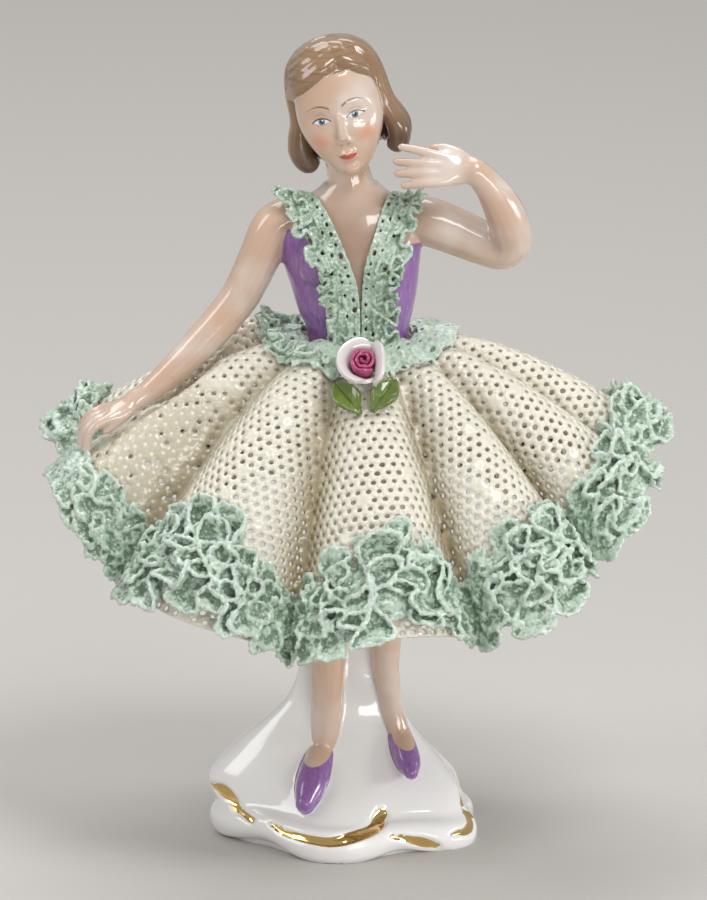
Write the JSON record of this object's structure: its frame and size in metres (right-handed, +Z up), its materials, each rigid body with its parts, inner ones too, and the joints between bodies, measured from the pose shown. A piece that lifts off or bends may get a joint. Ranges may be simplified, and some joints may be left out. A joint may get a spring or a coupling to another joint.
{
  "type": "porcelain lace dancer figurine",
  "caption": "Glazed porcelain dancer on a scrolled mound with a raised hand, a pleated openwork lace skirt, frilled lace trims and a rose with leaves at the waist.",
  "frame": {"origin": "centre of the mound's flat underside, on the surface that the figure stands on", "axes": "+Z up; the dancer faces -Y; +X is towards her raised left arm"},
  "size_m": [0.0928, 0.0824, 0.1191],
  "materials": {
    "painted_glaze": "painted under a clear gloss glaze",
    "cream_net": "net dipped in slip, fired and thinly glazed",
    "green_lace": "crumpled lace dipped in tinted slip, fired and thinly glazed",
    "petal_glaze": "gloss glaze",
    "leaf_glaze": "gloss glaze"
  },
  "bodies": {
    "root": {"dancer_on_base": "painted_glaze", "lace_skirt": "cream_net", "hem_ruffle": "green_lace", "waist_ruffle": "green_lace", "neckline_ruffle_right": "green_lace", "neckline_ruffle_left": "green_lace", "rose": "petal_glaze", "rose_leaf_right": "leaf_glaze", "rose_leaf_left": "leaf_glaze"}
  },
  "joints": []
}
